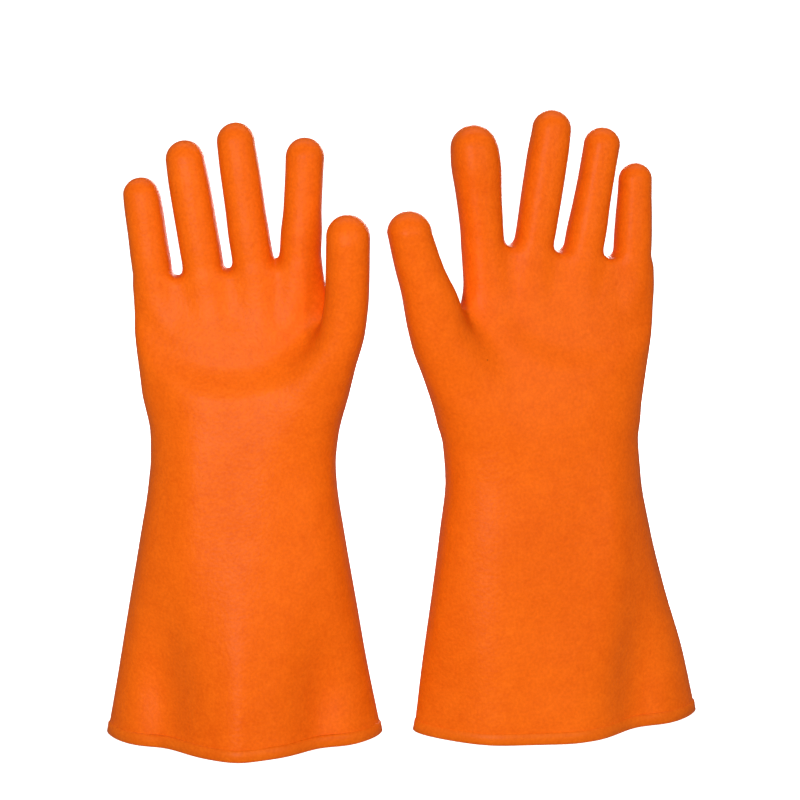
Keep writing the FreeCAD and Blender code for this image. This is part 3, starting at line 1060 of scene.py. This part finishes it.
def make_floor():
    """A pale floor that curves up into a backdrop."""
    turn = SWEEP_BACK - SWEEP_RADIUS
    profile = [(SWEEP_FRONT, 0.0), (turn, 0.0)]
    for step in range(1, SWEEP_STEPS + 1):
        angle = math.radians(90 * step / SWEEP_STEPS)
        rise = SWEEP_RADIUS - SWEEP_RADIUS * math.cos(angle)
        profile.append((turn + SWEEP_RADIUS * math.sin(angle), rise))
    profile.append((SWEEP_BACK, SWEEP_TOP))
    points = [(x, y, z) for y, z in profile for x in (-SWEEP_SIDE, SWEEP_SIDE)]
    faces = [(2 * i, 2 * i + 1, 2 * i + 3, 2 * i + 2) for i in range(len(profile) - 1)]
    mesh = bpy.data.meshes.new("floor")
    mesh.from_pydata(points, [], faces)
    mesh.shade_smooth()
    floor = bpy.data.objects.new("floor", mesh)
    bpy.context.scene.collection.objects.link(floor)
    make = Finish("pale_floor")
    cloud = make.noise(make.node("ShaderNodeTexCoord", output=3), 3.0)
    white = make.blend(cloud, (0.93, 0.93, 0.93, 1), (0.97, 0.97, 0.97, 1))
    glow = {"Emission_Color": (1, 1, 1, 1), "Emission_Strength": 0.9}
    mesh.materials.append(make.surface(Base_Color=white, Roughness=0.85, **glow))
    # The bright floor is kept from lighting the gloves, as black flags do in a studio.
    floor.visible_diffuse = False
    floor.visible_glossy = False


make_floor()
print("sweep from", SWEEP_FRONT, "to", SWEEP_BACK, "m")

# %% [markdown]
# ## The lamps
# Soft lamps in front keep the shading gentle. The key stands low, so surfaces that tilt upwards,
# like the hollow of the palm, fall a little darker. One lamp lights the backdrop and one the backs.


# %% Lamps
def softbox(name, place, aim, width, height, watts):
    """A rectangular lamp at a place, turned towards another."""
    lamp = bpy.data.lights.new(name, "AREA")
    lamp.shape = "RECTANGLE"
    lamp.size, lamp.size_y, lamp.energy = width, height, watts
    made = bpy.data.objects.new(name, lamp)
    made.location = place
    made.rotation_euler = (Vector(aim) - Vector(place)).to_track_quat("-Z", "Y").to_euler()
    bpy.context.scene.collection.objects.link(made)
    print(name, "of", watts, "W")


softbox("key_box", (-0.27, -1.38, 0.30), (0, 0, 0.2), 0.25, 0.5, 14)
softbox("side_box", (0.70, -1.20, 0.45), (0, 0, 0.2), 0.15, 0.8, 4.8)
softbox("front_box", (0.15, -1.35, 1.20), (0, 0, 0.15), 0.8, 0.4, 2.5)
softbox("back_box", (0, 0.4, 1.9), (0, 1.6, 0.4), 2.4, 0.6, 22)
softbox("rear_box", (0.30, 1.35, 0.50), (0, 0, 0.2), 0.8, 0.6, 15)
world = bpy.data.worlds.new("studio")
bpy.context.scene.world = world
world.use_nodes = True
world.node_tree.nodes["Background"].inputs["Color"].default_value = (1, 1, 1, 1)
world.node_tree.nodes["Background"].inputs["Strength"].default_value = 0.25
bpy.context.scene.view_settings.view_transform = "Standard"
